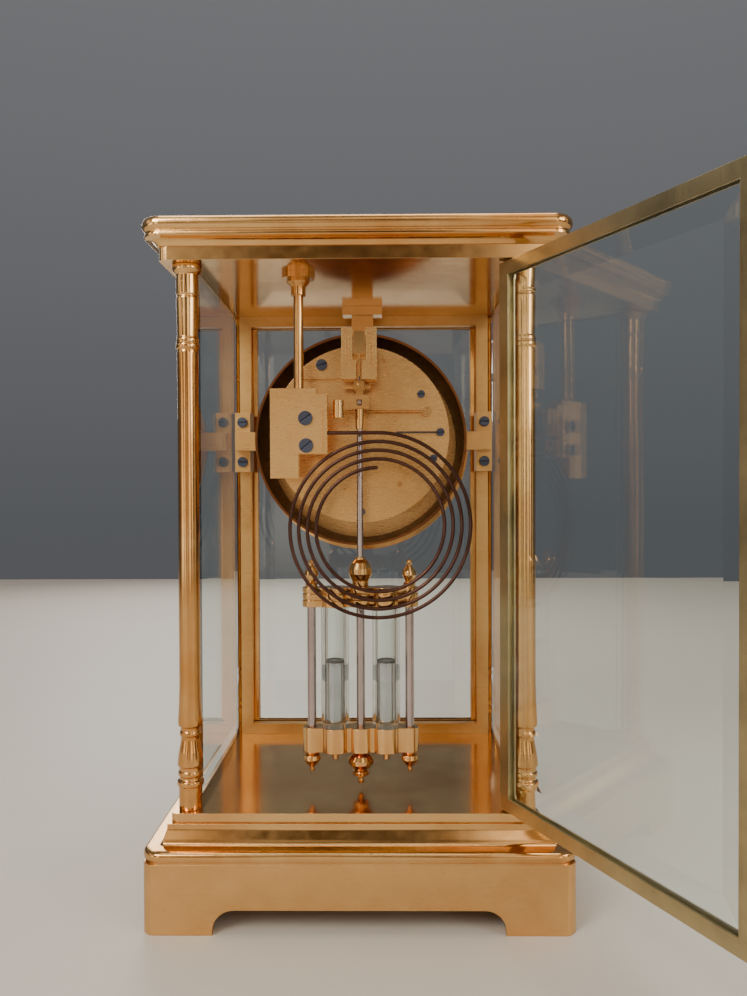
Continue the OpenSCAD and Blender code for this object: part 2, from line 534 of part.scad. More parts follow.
module hour_hand() color("#2b2f55") {
  difference() {
    union() {
      translate([0, 0, dial_z]) rotate([0, -56, 0]) translate([0, 0, -dial_z]) hand(28, 1.6, hour_y, 0.8, 3.2);
      rod_y(0, -40.4, dial_z, 2.2, 5.4);
      translate([0, -35.8, dial_z]) rotate([-90, 0, 0]) rotate([0, 0, hour_ph]) gear(hour_n, m2, 0.8, 1);
    }
    rod_y(0, -45, dial_z, arb_r + fit, 12);
  }
}
module minute_wheel() color("#c9a15e") difference() {
  translate([mw_p[0], 0, mw_p[1]]) rotate([0, mw_a, 0]) {
    translate([0, plate_f - mp_t - 1.4, 0]) rotate([-90, 0, 0]) rotate([0, 0, 90 + 180/minute_n])
      gear(minute_n, wheel_m, 0.8, 0.8);
    translate([0, -35.8, 0]) rotate([-90, 0, 0]) gear(mpin_n, m2, 1.8, 0.8);
  }
  rod_y(mw_p[0], -45, mw_p[1], 0.8 + fit, 20);
}

base_apron();
base_plinth();
floor_plate();
cornice();
ceiling_plate();
column_rear_left();
column_rear_right();
column_front_left();
column_front_right();
tie_rods();
tie_rod_nuts();
side_glass_left();
side_glass_right();
front_frame();
brackets();
bracket_screws();
movement_hanger();
rear_door_frame();
rear_door_glass();
rear_door_pins();
rear_door_knob();
front_door_frame();
front_door_glass();
front_door_pins();
front_door_knob();
drum();
bezel();
dial();
dial_marks();
front_plate();
back_plate();
pillars();
plate_screws();
suspension_bracket();
suspension_slider();
crutch();
pendulum_hook();
suspension_spring();
pendulum_rod();
pendulum_top_plate();
pendulum_bottom_plate();
pendulum_side_rods();
pendulum_finials();
vials();
mercury();
rating_nut();
gong_rod();
gong_block();
gong_clamp();
gong_screws();
gong_coil();
hammer();
hammer_spring();
minute_hand();
hour_hand();
minute_wheel();
centre_arbor();
going_barrel();
strike_barrel();
escape_wheel();
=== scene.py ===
"""Finishes for a four-glass mantel clock, seen open at the back.

Run as a script it registers the add-on, builds every group and sets the stage."""
import math

import bmesh
import bpy
from mathutils import Matrix, Vector


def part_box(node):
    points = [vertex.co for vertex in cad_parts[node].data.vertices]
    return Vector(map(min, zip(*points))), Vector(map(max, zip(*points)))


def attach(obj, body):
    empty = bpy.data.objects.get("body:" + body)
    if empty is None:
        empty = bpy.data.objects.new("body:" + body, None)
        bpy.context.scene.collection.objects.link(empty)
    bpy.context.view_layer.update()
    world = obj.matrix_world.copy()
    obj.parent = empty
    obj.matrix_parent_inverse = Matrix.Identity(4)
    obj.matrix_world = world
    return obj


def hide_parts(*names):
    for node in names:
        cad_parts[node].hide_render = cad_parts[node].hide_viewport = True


bl_info = {
    "name": "Four-glass clock finishes",
    "version": (1, 0, 0),
    "blender": (4, 5, 0),
    "location": "3D View > Sidebar > Clock",
    "description": "Finishes and fine pieces for a four-glass mantel clock",
    "category": "Object",
}

MM = 0.001
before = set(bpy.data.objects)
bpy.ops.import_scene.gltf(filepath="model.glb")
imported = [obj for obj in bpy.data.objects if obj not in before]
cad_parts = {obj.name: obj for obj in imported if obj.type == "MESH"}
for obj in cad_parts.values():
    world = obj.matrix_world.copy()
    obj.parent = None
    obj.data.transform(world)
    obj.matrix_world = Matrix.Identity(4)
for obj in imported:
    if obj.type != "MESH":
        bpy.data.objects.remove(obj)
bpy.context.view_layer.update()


# ---------------------------------------------------------------- settings
def colour_prop(name, text, value):
    return bpy.props.StringProperty(name=name, description=text, default=value)


class ClockSettings(bpy.types.PropertyGroup):
    brass: colour_prop("Polished brass", "Lacquered brass of the columns and mouldings", "#e6b87a")
    brass_deep: colour_prop("Brass shade", "Deeper tone that drifts through the lacquer", "#cf9352")
    satin: colour_prop("Satin brass", "Brushed brass of the base and inner frame", "#dcae70")
    pale: colour_prop("Pale brass", "Worn pale brass of the back door", "#c9b688")
    plate: colour_prop("Plate brass", "Peach gilt of the movement plates", "#ecbb7c")
    drum_in: colour_prop("Drum brown", "Browned brass of the movement drum", "#7c4a20")
    steel: colour_prop("Steel", "Polished steel of the pendulum rods", "#b9a8a4")
    blued: colour_prop("Blued steel", "Heat-blued screws and hands", "#454b5f")
    gong: colour_prop("Gong steel", "Browned steel of the gong", "#5c4038")
    glass: colour_prop("Glass tint", "Faint green of old plate glass", "#f6fbf9")
    enamel: colour_prop("Enamel", "White enamel of the dial", "#f4f1e8")
    ink: colour_prop("Numerals", "Black of the numerals", "#17171c")
    floor: colour_prop("Floor", "Plain pale floor under the clock", "#cfc8bd")
    coil_step: bpy.props.FloatProperty(name="Coil step",
                                       description="Fall in radius of the gong at each half turn",
                                       default=0.002, unit="LENGTH")
    coil_halves: bpy.props.IntProperty(name="Half turns", description="Half turns of the gong", default=8,
                                       min=4)
    vial_wall: bpy.props.FloatProperty(name="Vial wall", description="Wall of a mercury vial",
                                       default=0.0022,
                                       unit="LENGTH")
    numeral_h: bpy.props.FloatProperty(name="Numeral height", description="Height of the dial numerals",
                                       default=0.0085, unit="LENGTH")
    dots: bpy.props.IntProperty(name="Minute dots", description="Dots of the minute ring", default=60,
                                min=12)


def settings():
    return bpy.context.scene.clock_settings


def rgb(hex_text):
    """sRGB hex to a linear colour."""
    out = []
    for k in (1, 3, 5):
        c = int(hex_text[k:k + 2], 16) / 255
        out.append(c / 12.92 if c <= 0.04045 else ((c + 0.055) / 1.055) ** 2.4)
    return (*out, 1.0)


# ---------------------------------------------------------------- materials
def add(tree, kind, links=None, **values):
    """A node of this kind; values set sockets by name or properties, links join sockets."""
    n = tree.nodes.new(kind)
    for key, value in values.items():
        name = key.replace("_", " ")
        if name in n.inputs:
            n.inputs[name].default_value = value
        else:
            setattr(n, key, value)
    for key, out in (links or {}).items():
        tree.links.new(out, n.inputs[key])
    return n


def new_material(name):
    m = bpy.data.materials.new(name)
    m.use_nodes = True
    m.node_tree.nodes.clear()
    return m, m.node_tree


def ramp(tree, fac, stops):
    n = add(tree, "ShaderNodeValToRGB", {"Fac": fac})
    n.color_ramp.elements[0].position, n.color_ramp.elements[0].color = stops[0]
    n.color_ramp.elements[1].position, n.color_ramp.elements[1].color = stops[-1]
    for pos, col in stops[1:-1]:
        n.color_ramp.elements.new(pos).color = col
    return n.outputs["Color"]


def grey(v):
    return (v, v, v, 1)


def metal(name, base, deep, rough=0.16, grain=(1, 1, 1), grain_size=6, bump=0.05, edge=0.3, metallic=1.0,
          spotting=0.35):
    """Metal with drifting tone, handled patches, fine grain and softened edges."""
    m, t = new_material(name)
    at = add(t, "ShaderNodeTexCoord").outputs["Object"]
    drift = add(t, "ShaderNodeTexNoise", {"Vector": at}, Scale=22, Detail=4, Roughness=0.6)
    spots = add(t, "ShaderNodeTexNoise", {"Vector": at}, Scale=160, Detail=6, Roughness=0.7)
    stretch = add(t, "ShaderNodeMapping", {"Vector": at}, Scale=grain)
    fine = add(t, "ShaderNodeTexNoise", {"Vector": stretch.outputs[0]}, Scale=1000 / grain_size, Detail=5,
               Roughness=0.65)
    tone = ramp(t, drift.outputs["Fac"], [(0.3, rgb(deep)), (0.62, rgb(base))])
    tarnish = add(t, "ShaderNodeMix", {"Factor": ramp(t, spots.outputs["Fac"],
                                                      [(0.6, grey(0)), (0.85, grey(spotting))])},
                  data_type="RGBA")
    tarnish.inputs[7].default_value = tuple(0.35 * c for c in rgb(deep)[:3]) + (1,)
    t.links.new(tone, tarnish.inputs[6])
    wear = add(t, "ShaderNodeNewGeometry").outputs["Pointiness"]
    worn = add(t, "ShaderNodeMix", data_type="RGBA")
    t.links.new(ramp(t, wear, [(0.52, grey(0)), (0.62, grey(edge))]), worn.inputs[0])
    t.links.new(tarnish.outputs[2], worn.inputs[6])
    worn.inputs[7].default_value = tuple(min(1, 1.25 * c + 0.05) for c in rgb(base)[:3]) + (1,)
    rough_out = ramp(t, fine.outputs["Fac"], [(0.25, grey(rough * 0.75)), (0.8, grey(rough * 1.5))])
    soft = add(t, "ShaderNodeBevel", samples=4, Radius=0.00035)
    bumped = add(t, "ShaderNodeBump", {"Height": fine.outputs["Fac"], "Normal": soft.outputs[0]},
                 Strength=bump, Distance=0.0002)
    b = add(t, "ShaderNodeBsdfPrincipled", {"Base Color": worn.outputs[2], "Roughness": rough_out,
                                            "Normal": bumped.outputs[0]}, Metallic=metallic)
    out = add(t, "ShaderNodeOutputMaterial", {"Surface": b.outputs[0]})
    out.location = (900, 0)
    return m


def glass(name, tint, edge_tint, depth=9):
    """Old plate glass: clear face on, green through its edges, faint dust and ripple."""
    m, t = new_material(name)
    at = add(t, "ShaderNodeTexCoord").outputs["Object"]
    ripple = add(t, "ShaderNodeTexNoise", {"Vector": at}, Scale=14, Detail=2)
    dust = add(t, "ShaderNodeTexNoise", {"Vector": at}, Scale=300, Detail=6, Roughness=0.8)
    bumped = add(t, "ShaderNodeBump", {"Height": ripple.outputs["Fac"]}, Strength=0.06, Distance=0.001)
    rough = ramp(t, dust.outputs["Fac"], [(0.6, grey(0.0)), (0.85, grey(0.1))])
    b = add(t, "ShaderNodeBsdfPrincipled", {"Roughness": rough, "Normal": bumped.outputs[0]}, IOR=1.5)
    b.inputs["Base Color"].default_value = rgb(tint)
    b.inputs["Transmission Weight"].default_value = 1
    clear = add(t, "ShaderNodeBsdfTransparent")
    clear.inputs[0].default_value = rgb(tint)
    path = add(t, "ShaderNodeLightPath")
    mix = add(t, "ShaderNodeMixShader", {"Fac": path.outputs["Is Shadow Ray"]})
    t.links.new(b.outputs[0], mix.inputs[1])
    t.links.new(clear.outputs[0], mix.inputs[2])
    vol = add(t, "ShaderNodeVolumeAbsorption", Density=depth)
    vol.inputs["Color"].default_value = rgb(edge_tint)
    add(t, "ShaderNodeOutputMaterial", {"Surface": mix.outputs[0], "Volume": vol.outputs[0]})
    return m


def gloss(name, base, deep, rough=0.12, crackle=0.02):
    """Fired enamel or paint: slight mottling, tiny pits, clear top."""
    m, t = new_material(name)
    at = add(t, "ShaderNodeTexCoord").outputs["Object"]
    drift = add(t, "ShaderNodeTexNoise", {"Vector": at}, Scale=60, Detail=5)
    pits = add(t, "ShaderNodeTexVoronoi", {"Vector": at}, Scale=700)
    tone = ramp(t, drift.outputs["Fac"], [(0.35, rgb(deep)), (0.65, rgb(base))])
    bumped = add(t, "ShaderNodeBump", {"Height": pits.outputs["Distance"]}, Strength=crackle,
                 Distance=0.0002)
    b = add(t, "ShaderNodeBsdfPrincipled", {"Base Color": tone, "Normal": bumped.outputs[0]},
            Roughness=rough)
    b.inputs["Coat Weight"].default_value = 0.4
    add(t, "ShaderNodeOutputMaterial", {"Surface": b.outputs[0]})
    return m


def floor_material(name, base):
    m, t = new_material(name)
    at = add(t, "ShaderNodeTexCoord").outputs["Object"]
    mottle = add(t, "ShaderNodeTexNoise", {"Vector": at}, Scale=9, Detail=8, Roughness=0.6)
    tone = add(t, "ShaderNodeMix", {"Factor": mottle.outputs["Fac"]}, data_type="RGBA")
    tone.inputs[6].default_value = tuple(0.93 * c for c in rgb(base)[:3]) + (1,)
    tone.inputs[7].default_value = rgb(base)
    b = add(t, "ShaderNodeBsdfPrincipled", {"Base Color": tone.outputs[2]}, Roughness=0.55)
    add(t, "ShaderNodeOutputMaterial", {"Surface": b.outputs[0]})
    return m


def library():
    s = settings()
    if "clk_polished" not in bpy.data.materials:
        metal("clk_polished", s.brass, s.brass_deep, rough=0.13, bump=0.03)
        metal("clk_satin", s.satin, "#c48c4e", rough=0.3, grain=(0.08, 0.08, 3), grain_size=0.8, bump=0.12)
        metal("clk_pale", s.pale, "#8d8263", rough=0.34, grain=(3, 3, 0.1), grain_size=0.8, bump=0.1)
        metal("clk_plate", s.plate, "#d9a05c", rough=0.24, grain=(0.3, 3, 3), grain_size=1, bump=0.01,
              spotting=0.08)
        metal("clk_drum", s.drum_in, "#4e2a0f", rough=0.32, grain=(1, 0.05, 1), grain_size=1, bump=0.1)
        metal("clk_steel", s.steel, "#8f7f80", rough=0.17, grain=(2, 2, 0.08), grain_size=1, bump=0.04)
        metal("clk_blued", s.blued, "#23283a", rough=0.3, bump=0.03, edge=0.6)
        metal("clk_gong", s.gong, "#33211d", rough=0.33, grain_size=1.5, bump=0.12, edge=0.2)
        metal("clk_mercury", "#c9ccd0", "#aeb1b6", rough=0.05, bump=0.0, edge=0)
        # Dark brown material for the thin ring at the top of the mercury: painted shade standing in for the dark
        # edge of the meniscus against the glass.
        metal("clk_painted_meniscus_shade", "#241b18", "#15100e", rough=0.4, metallic=0.4)
        glass("clk_glass", s.glass, "#58b8a4", 6)
        glass("clk_vial", "#f2f6f4", "#7fb7a6", 6)
        gloss("clk_enamel", s.enamel, "#e6e1d2")
        gloss("clk_ink", s.ink, "#0c0c10", 0.2)
    return bpy.data.materials


FINISH = {
    "clk_satin": "base_apron base_plinth front_frame brackets",
    "clk_pale": "rear_door_frame",
    "clk_plate": "front_plate back_plate suspension_bracket gong_block gong_clamp",
    "clk_drum": "drum",
    "clk_steel": "tie_rods tie_rod_nuts crutch pendulum_rod pendulum_side_rods",
    "clk_blued": "bracket_screws plate_screws gong_screws suspension_spring "
                 "minute_hand hour_hand hammer_spring",
    "clk_gong": "gong_coil",
    "clk_mercury": "mercury",
    "clk_glass": "side_glass_left side_glass_right rear_door_glass front_door_glass",
    "clk_vial": "vials",
    "clk_enamel": "dial",
    "clk_ink": "dial_marks",
}


# ---------------------------------------------------------------- mesh helpers
def mesh_object(name, bm, material, smooth=math.radians(34)):
    bmesh.ops.recalc_face_normals(bm, faces=bm.faces)
    for f in bm.faces:
        f.smooth = True
    for e in bm.edges:
        if len(e.link_faces) == 2 and e.calc_face_angle(0) > smooth:
            e.smooth = False
    me = bpy.data.meshes.new(name)
    bm.to_mesh(me)
    bm.free()
    ob = bpy.data.objects.new(name, me)
    bpy.context.scene.collection.objects.link(ob)
    me.materials.append(bpy.data.materials[material])
    return ob


def lathe(bm, profile, centre, axis="Z", segments=64):
    """A closed solid of revolution; profile is [(radius, height)], from axis to axis."""
    rings = []
    for r, h in profile:
        if r < 1e-7:
            rings.append([bm.verts.new(place(0, 0, h, centre, axis))])
        else:
            rings.append([bm.verts.new(place(r * math.cos(2 * math.pi * k / segments),
                                             r * math.sin(2 * math.pi * k / segments), h, centre, axis))
                          for k in range(segments)])
    for a, b in zip(rings, rings[1:]):
        for k in range(segments):
            j = (k + 1) % segments
            quad = [a[k % len(a)], a[j % len(a)], b[j % len(b)], b[k % len(b)]]
            face = []
            for v in quad:
                if v not in face:
                    face.append(v)
            if len(face) > 2:
                bm.faces.new(face)


def place(u, v, h, centre, axis):
    p = (u, v, h) if axis == "Z" else (u, h, -v)
    return Vector(centre) + Vector(p)


def tube(bm, points, radius, sides=20):
    """A round wire along points, with closed ends."""
    rings = []
    normal = Vector((0, 1, 0))
    for k, p in enumerate(points):
        d = (points[min(k + 1, len(points) - 1)] - points[max(k - 1, 0)]).normalized()
        side = d.cross(normal).normalized()
        rings.append([bm.verts.new(p + radius * (math.cos(a) * normal + math.sin(a) * side))
                      for a in (2 * math.pi * i / sides for i in range(sides))])
    for a, b in zip(rings, rings[1:]):
        for k in range(sides):
            bm.faces.new([a[k], a[(k + 1) % sides], b[(k + 1) % sides], b[k]])
    bm.faces.new(rings[0])
    bm.faces.new(rings[-1][::-1])


def smooth_profile(points, n=6):
    """Catmull-Rom through the points, so turned shapes have no facets."""
    out = []
    for k in range(len(points) - 1):
        p = [points[max(0, min(len(points) - 1, k + j))] for j in (-1, 0, 1, 2)]
        for i in range(n):
            t = i / n
            out.append(tuple(0.5 * (2 * p[1][c] + (p[2][c] - p[0][c]) * t
                                    + (2 * p[0][c] - 5 * p[1][c] + 4 * p[2][c] - p[3][c]) * t * t
                                    + (3 * p[1][c] - p[0][c] - 3 * p[2][c] + p[3][c]) * t ** 3) for c in (0, 1)))
    out.append(points[-1])
    return [(max(0.0, r), h) for r, h in out]


def filleted(points, reach, n=4):
    """Each inner corner rounded with a parabola that starts within reach of it."""
    out = [points[0]]
    for a, b, c in zip(points, points[1:], points[2:]):
        b2, ab, cb = Vector(b), Vector(a) - Vector(b), Vector(c) - Vector(b)
        p = b2 + ab * min(0.499, reach / max(ab.length, 1e-9))
        q = b2 + cb * min(0.499, reach / max(cb.length, 1e-9))
        out += [tuple((1 - t) ** 2 * p + 2 * t * (1 - t) * b2 + t * t * q) for t in (i / n for i in range(n + 1))]
    return out + [points[-1]]


def moulding(bm, half_x, half_y, corner, profile, z0, steps=10):
    """A closed moulded slab: profile is [(inset from the widest line, height)]."""
    rings = []
    for inset, h in profile:
        rad = max(corner - inset, 0.0004)
        ring = []
        for k in range(4):
            sx, sy = ((1, 1), (-1, 1), (-1, -1), (1, -1))[k]
            cx, cy = sx * (half_x - inset - rad), sy * (half_y - inset - rad)
            for i in range(steps + 1):
                a = math.pi / 2 * (k + i / steps)
                ring.append(bm.verts.new((cx + rad * math.cos(a), cy + rad * math.sin(a), z0 + h)))
        rings.append(ring)
    n = len(rings[0])
    for a, b in zip(rings, rings[1:]):
        for k in range(n):
            bm.faces.new([a[k], a[(k + 1) % n], b[(k + 1) % n], b[k]])
    bm.faces.new(rings[0][::-1])
    bm.faces.new(rings[-1])


def mm(points):
    return [(a * MM, b * MM) for a, b in points]


# ---------------------------------------------------------------- operators
class CLOCK_OT_finishes(bpy.types.Operator):
    """Give every carried-over CAD node its finish"""
    bl_idname = "clock.finishes"
    bl_label = "Finishes"

    def execute(self, context):
        mats = library()
        chosen = {n: m for m, names in FINISH.items() for n in names.split()}
        for name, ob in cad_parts.items():
            for slot in ob.material_slots:
                slot.material = mats[chosen.get(name, "clk_polished")]
        return {"FINISHED"}


COLUMN = [(0, 0), (5.1, 0), (5.1, 10.3), (5.7, 10.4), (5.9, 11.6), (5.7, 12.7), (5.1, 12.9), (4.7, 13.4),
          (4.7, 14.5),
          (5.3, 14.8), (5.5, 15.8), (5.3, 16.8), (4.9, 17), (4.9, 18.9), (5.6, 19.2), (5.65, 20.2),
          (5.4, 22.5), (5, 25.5),
          (4.4, 28.7), (4.0, 31), (4.1, 32.3), (4.6, 32.6), (4.7, 33.5), (4.5, 34.4), (4.2, 34.7),
          (4.2, 36.3),
          (5.3, 36.9), (5.35, 39), (5.2, 42), (4.9, 47), (4.65, 56)]
CAPITAL = [(4.6, 55), (4.72, 38), (4.5, 36.9), (5.1, 36.5), (5.2, 35.4), (5.1, 34.5), (4.7, 34.3),
           (4.9, 33.8),
           (4.95, 33), (4.9, 32.2), (4.5, 31.6), (4.9, 14.2), (4.5, 13.9), (4.5, 13.1), (4.9, 12.9),
           (4.95, 8),
           (4.9, 4.2), (5.4, 3.9), (6.3, 2.6), (6.5, 1.5), (6.4, 0.3), (6.2, 0), (0, 0)]
CORNICE_CORNER = 0.0095
PLINTH_CORNER = 0.008
APRON = [(0, 0), (0, 30.8), (-0.4, 31.3), (-0.7, 32.3), (-0.7, 33.3), (-0.4, 34.4), (0.3, 35), (2, 35.3),
         (6.2, 35.6),
         (7, 36.2), (7.4, 37.6), (8.1, 39.6), (8.8, 41.6), (8.9, 43.2), (8.9, 44)]
CORNICE = [(6.4, 0), (5.9, 0.9), (5.2, 1.8), (3.9, 2.6), (1.6, 3.0), (1.1, 3.1), (1.1, 4.7), (1.7, 4.9),
           (1.8, 5.6),
           (1.0, 6.2), (0.3, 7.0), (0, 8.2), (0.1, 9.5), (0.8, 10.8), (1.8, 11.4), (3.2, 11.7)]


class CLOCK_OT_columns(bpy.types.Operator):
    """Turn the four columns"""
    bl_idname = "clock.columns"
    bl_label = "Columns"

    def execute(self, context):
        for name in ("column_rear_left", "column_rear_right", "column_front_left", "column_front_right"):
            lo, hi = (Vector(v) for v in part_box(name))
            h = (hi.z - lo.z) / MM
            points = COLUMN + [(a, h - b) for a, b in CAPITAL]
            bm = bmesh.new()
            lathe(bm, mm(filleted(points, 0.45)), ((lo.x + hi.x) / 2, (lo.y + hi.y) / 2, lo.z))
            ob = mesh_object("turned_" + name, bm, "clk_polished")
            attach(ob, "case")
            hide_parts(name)
        return {"FINISHED"}


class CLOCK_OT_mouldings(bpy.types.Operator):
    """Run the mouldings of the base and cornice round their corners"""
    bl_idname = "clock.mouldings"
    bl_label = "Mouldings"

    def execute(self, context):
        lo, hi = (Vector(v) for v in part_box("cornice"))
        bm = bmesh.new()
        moulding(bm, hi.x, hi.y, CORNICE_CORNER, mm(filleted(CORNICE, 0.4)), lo.z)
        top = mesh_object("moulded_cornice", bm, "clk_polished")
        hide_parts("cornice")
        lo, hi = (Vector(v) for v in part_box("base_plinth"))
        bead = 0.0007
        bm = bmesh.new()
        split = [p for p in APRON if p[1] >= 30.5]
        moulding(bm, hi.x - bead, hi.y - bead, PLINTH_CORNER, mm([(0, 30)] + filleted(split, 0.4)), 0)
        plinth = mesh_object("moulded_plinth", bm, "clk_polished")
        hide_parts("base_plinth")
        for ob in (top, plinth):
            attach(ob, "case")
        return {"FINISHED"}


class CLOCK_OT_gong(bpy.types.Operator):
    """Wind the gong as one smooth wire"""
    bl_idname = "clock.gong"
    bl_label = "Gong wire"

    def execute(self, context):
        s = settings()
        lo, hi = (Vector(v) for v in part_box("gong_coil"))
        r = (hi.y - lo.y) / 2
        y, z = (hi.y + lo.y) / 2, hi.z - r
        big = (z - (lo.z + r)) / 2
        cx = lo.x + r + big
        pts = [Vector((hi.x - k * (hi.x - cx) / 12, y, z)) for k in range(12)]
        for k in range(s.coil_halves):
            rad = big - k * s.coil_step
            cz = z - big if k % 2 == 0 else z - big - s.coil_step
            for i in range(48):
                a = math.pi * i / 48 + (math.pi if k % 2 else 0)
                pts.append(Vector((cx - rad * math.sin(a), y, cz + rad * math.cos(a))))
        last = s.coil_halves - 1
        rad = big - last * s.coil_step
        pts.append(Vector((cx, y, z - big - (s.coil_step if last % 2 else 0) + (rad if last % 2 else -rad))))
        bm = bmesh.new()
        tube(bm, pts, r)
        ob = mesh_object("gong_wire", bm, "clk_gong")
        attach(ob, "case")
        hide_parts("gong_coil")
        return {"FINISHED"}


class CLOCK_OT_vials(bpy.types.Operator):
    """Blow the two vials and fill them with mercury"""
    bl_idname = "clock.vials"
    bl_label = "Vials and mercury"

    def execute(self, context):
        s = settings()
        lo, hi = (Vector(v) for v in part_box("vials"))
        mlo, mhi = (Vector(v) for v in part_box("mercury"))
        r = (hi.y - lo.y) / 2
        y = (hi.y + lo.y) / 2
        x = (hi.x - lo.x) / 2 - r
        inner = r - s.vial_wall
        h = hi.z - lo.z
        floor = mlo.z - lo.z
        wall = smooth_profile([(0, 0), (r * 0.9, 0), (r, 0.0008), (r, h * 0.4), (r, h - 0.0006),
                               (r - 0.0008, h)], 5)
        wall += smooth_profile([(inner + 0.0004, h), (inner, h - 0.0008), (inner, h * 0.4),
                                (inner, floor + 0.0015),
                                (inner * 0.8, floor + 0.0002), (0, floor)], 5)
        top = mhi.z - mlo.z
        mr = inner - 0.00003
        fill = [(0, 0)] + smooth_profile([(mr * 0.8, 0.0003), (mr, 0.0016), (mr, top * 0.5),
                                          (mr, top - 0.0012),
                                          (mr * 0.8, top - 0.0003), (mr * 0.35, top), (0, top)], 5)
        gb, mb, painted_shade_bm = bmesh.new(), bmesh.new(), bmesh.new()
        for sx in (-1, 1):
            lathe(gb, wall, (sx * x, y, lo.z))
            lathe(mb, fill, (sx * x, y, mlo.z + 0.00005))
            # A thin dark band just inside the vial wall at the top of the mercury: painted shade standing in for
            # the dark meniscus edge.
            lathe(painted_shade_bm, [(mr - 0.0003, 0), (mr - 0.00001, 0), (mr - 0.00001, 0.0012), (mr - 0.0003, 0.0012),
                       (mr - 0.0003, 0)], (sx * x, y, mhi.z - 0.0009))
        for bm, name, mat, old, slot in ((gb, "vial_glass", "clk_vial", "vials", "clear_glass"),
                                         (mb, "mercury_fill", "clk_mercury", "mercury", "mercury")):
            bmesh.ops.remove_doubles(bm, verts=bm.verts, dist=1e-7)
            ob = mesh_object(name, bm, mat)
            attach(ob, "pendulum")
            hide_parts(old)
        # The dark band at the meniscus edge is painted shade.
        bmesh.ops.remove_doubles(painted_shade_bm, verts=painted_shade_bm.verts, dist=1e-7)
        ring = mesh_object("mercury_painted_meniscus_shade", painted_shade_bm, "clk_painted_meniscus_shade")
        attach(ring, "pendulum")
        return {"FINISHED"}


STROKES = {"I": [(0, 0, 0, 1)], "V": [(-0.28, 1, 0, 0), (0.28, 1, 0, 0)],
           "X": [(-0.28, 1, 0.28, 0), (0.28, 1, -0.28, 0)]}
NUMERALS = ["XII", "I", "II", "III", "IIII", "V", "VI", "VII", "VIII", "IX", "X", "XI"]
WIDTH = {"I": 0.26, "V": 0.62, "X": 0.66}


class CLOCK_OT_numerals(bpy.types.Operator):
    """Paint the hour numerals on the dial"""
    bl_idname = "clock.numerals"
    bl_label = "Numerals"

    def execute(self, context):
        s = settings()
        lo, hi = (Vector(v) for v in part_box("dial"))
        cx, cz, y = (lo.x + hi.x) / 2, (lo.z + hi.z) / 2, lo.y
        size = s.numeral_h
        rad = (hi.x - lo.x) / 2 * 0.74
        bm = bmesh.new()
        for hour, word in enumerate(NUMERALS):
            a = 2 * math.pi * hour / 12
            total = sum(WIDTH[c] for c in word)
            u0 = -total / 2
            for c in word:
                mid = u0 + WIDTH[c] / 2
                for k, (x0, y0, x1, y1) in enumerate(STROKES[c]):
                    thick = 0.085 if (c == "I" or k == 0) else 0.035
                    self.bar(bm, (mid + x0, y0 - 0.5), (mid + x1, y1 - 0.5), thick, size, rad, a, cx, cz, y)
                for end in (-0.5, 0.5):
                    self.bar(bm, (u0 + 0.02, end), (u0 + WIDTH[c] - 0.02, end), 0.022, size, rad, a, cx,
                             cz, y)
                u0 += WIDTH[c]
        ob = mesh_object("dial_numerals", bm, "clk_ink")
        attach(ob, "case")
        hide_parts("dial_marks")
        return {"FINISHED"}

    @staticmethod
    def bar(bm, p, q, half, size, rad, a, cx, cz, y):
        d = Vector((q[0] - p[0], q[1] - p[1]))
        n = Vector((-d.y, d.x)).normalized() * half
        corner = [Vector(p) + n, Vector(p) - n, Vector(q) - n, Vector(q) + n]
        out = []
        for layer in (0.00002, -0.00012):
            for c in corner:
                u, v = c.x * size, rad + c.y * size
                out.append(bm.verts.new((cx + u * math.cos(a) + v * math.sin(a), y + layer,
                                         cz - u * math.sin(a) + v * math.cos(a))))
        bm.faces.new(out[:4])
        bm.faces.new(out[4:][::-1])
        for k in range(4):
            j = (k + 1) % 4
            bm.faces.new([out[k], out[k + 4], out[j + 4], out[j]])


